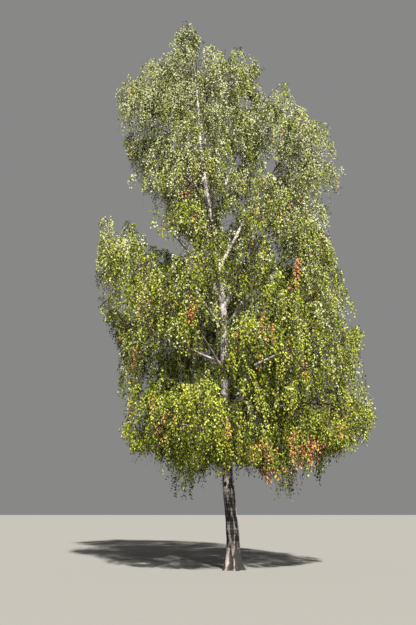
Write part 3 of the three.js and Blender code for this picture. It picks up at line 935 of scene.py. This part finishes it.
def bark_material():
    """White papery bark with level dashes, black in its fissures, a black deepened to paint their
    shade, and reddish brown where young.
    """
    material = bpy.data.materials.new("birch_bark")
    material.use_nodes = True
    nodes, links = material.node_tree.nodes, material.node_tree.links
    shader = nodes["Principled BSDF"]
    shader.inputs["Specular IOR Level"].default_value = BARK_SHINE

    def noise_value(scale, stretch, detail):
        place = nodes.new("ShaderNodeTexCoord")
        mapping = nodes.new("ShaderNodeMapping")
        mapping.inputs["Scale"].default_value = stretch
        noise = nodes.new("ShaderNodeTexNoise")
        noise.inputs["Scale"].default_value = scale
        noise.inputs["Detail"].default_value = detail
        links.new(place.outputs["Object"], mapping.inputs["Vector"])
        links.new(mapping.outputs["Vector"], noise.inputs["Vector"])
        return noise.outputs["Fac"]

    def noise_colour(scale, stretch, detail, stops):
        node = nodes.new("ShaderNodeValToRGB")
        while len(node.color_ramp.elements) < len(stops):
            node.color_ramp.elements.new(0.5)
        for element, (place, colour) in zip(node.color_ramp.elements, stops):
            element.position = place
            element.color = (*colour, 1)
        links.new(noise_value(scale, stretch, detail), node.inputs["Fac"])
        return node.outputs["Color"]

    def mix(share, first, second):
        node = nodes.new("ShaderNodeMix")
        node.data_type = "RGBA"
        links.new(share, node.inputs["Factor"])
        links.new(first, node.inputs["A"])
        links.new(second, node.inputs["B"])
        return node.outputs["Result"]

    def stored(name):
        node = nodes.new("ShaderNodeAttribute")
        node.attribute_name = name
        return node.outputs["Fac"]

    paper = noise_colour(*PAPER_TEXTURE)
    dashes = noise_colour(*DASH_TEXTURE)
    fissure_with_shade = noise_colour(*FISSURE_AND_SHADE_TEXTURE)
    brown = noise_colour(*YOUNG_TEXTURE)
    colour = mix(dashes, paper, fissure_with_shade)
    colour = mix(stored("young"), colour, brown)
    # the dark marks take the fissure colour, whose black is deepened as painted shade
    colour = mix(stored("dark"), colour, fissure_with_shade)
    links.new(colour, shader.inputs["Base Color"])

    roughness = nodes.new("ShaderNodeMapRange")
    roughness.inputs["To Min"].default_value = PAPER_ROUGHNESS
    roughness.inputs["To Max"].default_value = FISSURE_ROUGHNESS
    links.new(stored("dark"), roughness.inputs["Value"])
    links.new(roughness.outputs["Result"], shader.inputs["Roughness"])

    bump = nodes.new("ShaderNodeBump")
    bump.inputs["Strength"].default_value = GRAIN_STRENGTH
    bump.inputs["Distance"].default_value = GRAIN_DEPTH
    links.new(noise_value(*GRAIN_TEXTURE), bump.inputs["Height"])
    links.new(bump.outputs["Normal"], shader.inputs["Normal"])
    return material


def make_strands(name, strands, tube, material):
    """One kind of strand as joined tubes, in pieces of limited size that stand for every mass."""
    thick, thin, sides, steps = tube
    pieces = math.ceil(len(strands) * 2 * sides * steps / MOST_TRIANGLES_A_PIECE)
    for number, chosen in enumerate(np.array_split(np.arange(len(strands)), pieces)):
        points, faces = tubes(strands.pick(chosen), thick, thin, sides, steps)
        piece = mesh_object(f"{name}_{number + 1}", points, faces, material)
        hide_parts(*FOLIAGE)


def make_leaves(points, colours):
    """The leaves of each colour, joined in pieces of limited size that stand for every mass."""
    _, pattern = leaf_outline()
    for index, (name, colour) in enumerate(LEAF_COLOURS.items()):
        material = plain_material(f"leaf_{name}", colour, LEAF_ROUGHNESS, LEAF_SHINE)
        mine = points[colours == index]
        pieces = math.ceil(len(mine) / MOST_LEAVES_A_PIECE)
        for number, chunk in enumerate(np.array_split(mine, pieces)):
            offsets = np.arange(len(chunk)) * len(chunk[0])
            faces = (pattern[None] + offsets[:, None, None]).reshape(-1, 3)
            corners = chunk.reshape(-1, 3)
            piece = mesh_object(f"leaves_{name}_{number + 1}", corners, faces, material)
            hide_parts(*FOLIAGE)


def grow_crown():
    """Every stem, twig, branchlet, shoot and leaf."""
    stems = grow_stems()
    boughs = [(*mass["bough"], index) for index, mass in enumerate(MASSES) if mass["bough"]]
    bough_lines = Strands(*(np.array(column) for column in zip(*boughs)))
    stem_twigs, _ = fork(stems, TWIGS)
    bough_twigs, _ = fork(bough_lines, BOUGH_TWIGS)
    leaders = stems.pick([MASSES[index]["bough"] is None for index in stems.owner])
    leader_twigs, _ = fork(leaders, LEADER_TWIGS)
    twigs = join_strands([stem_twigs, bough_twigs, leader_twigs])
    fillers = grow_fillers(join_strands([stems, bough_lines]), twigs)
    twigs = join_strands([twigs, fillers])
    branchlets, branchlet_twig = fork(twigs, BRANCHLETS)
    full = ~in_hollow(branchlets.end)
    branchlets = branchlets.pick(full)
    branchlet_twig = branchlet_twig[full]
    own_shoots, shoot_branchlet = fork(branchlets, SHOOTS)
    twig_shoots, shoot_twig = fork(twigs, TWIG_SHOOTS)
    near_dry = np.flatnonzero(deal_dry(branchlets) >= 0)
    dry_shoots, _ = fork(branchlets.pick(near_dry), DRY_SHOOTS)
    bearers = np.concatenate([branchlet_twig[shoot_branchlet], shoot_twig])
    twigs = twigs.pick(np.bincount(bearers, minlength=len(twigs)) >= LEAST_SHOOTS)
    shoots = join_strands([own_shoots, twig_shoots, dry_shoots])
    dry_patches = deal_dry(shoots)
    alike = rng.random(len(own_shoots)) < SAME_AS_BRANCHLET
    shoot_colours = np.concatenate([
        np.where(alike, deal_colours(branchlets)[shoot_branchlet], deal_colours(own_shoots)),
        deal_colours(twig_shoots),
        deal_colours(dry_shoots),
    ])

    twig_bark = plain_material("twig_bark", TWIG_COLOUR, TWIG_ROUGHNESS, TWIG_SHINE)
    make_strands("stems", stems, STEM_TUBE, twig_bark)
    make_strands("twigs", twigs, TWIG_TUBE, twig_bark)
    make_strands("branchlets", branchlets, BRANCHLET_TUBE, twig_bark)
    make_strands("shoots", shoots, SHOOT_TUBE, twig_bark)
    make_leaves(*leaves_on(shoots, shoot_colours, dry_patches))


def make_stage():
    """A plain floor, a plain pale sky and a sun."""
    floor_material = plain_material("floor", FLOOR_COLOUR, FLOOR_ROUGHNESS, FLOOR_SHINE)
    bpy.ops.mesh.primitive_plane_add(size=FLOOR_SIZE, location=(0, 0, 0))
    floor = bpy.context.object
    floor.name = "floor"
    floor.data.materials.append(floor_material)

    world = bpy.data.worlds.new("studio")
    world.use_nodes = True
    sky = world.node_tree.nodes["Background"]
    sky.inputs["Color"].default_value = (*SKY_COLOUR, 1)
    sky.inputs["Strength"].default_value = SKY_STRENGTH
    bpy.context.scene.world = world

    sun_data = bpy.data.lights.new("key", "SUN")
    sun_data.energy = SUN_STRENGTH
    sun_data.angle = math.radians(SUN_WIDTH)
    sun_data.color = SUN_COLOUR
    sun = bpy.data.objects.new("key", sun_data)
    sun.rotation_euler = (math.radians(SUN_TILT), 0, math.radians(SUN_TURN))
    bpy.context.scene.collection.objects.link(sun)


def make_camera():
    """The camera, which stands where the photographer did."""
    data = bpy.data.cameras.new("camera")
    data.lens = CAMERA_LENS
    data.sensor_width = CAMERA_SENSOR
    data.clip_end = CAMERA_SEES_TO
    camera = bpy.data.objects.new("camera", data)
    camera.location = VIEWER
    camera.rotation_euler = (math.radians(90 + CAMERA_PITCH), 0, 0)
    bpy.context.scene.collection.objects.link(camera)
    bpy.context.scene.camera = camera


bark = bark_material()
make_trunk(bark)
make_boughs(bark)
grow_crown()
make_stage()
make_camera()
bpy.context.scene.view_settings.view_transform = "Standard"
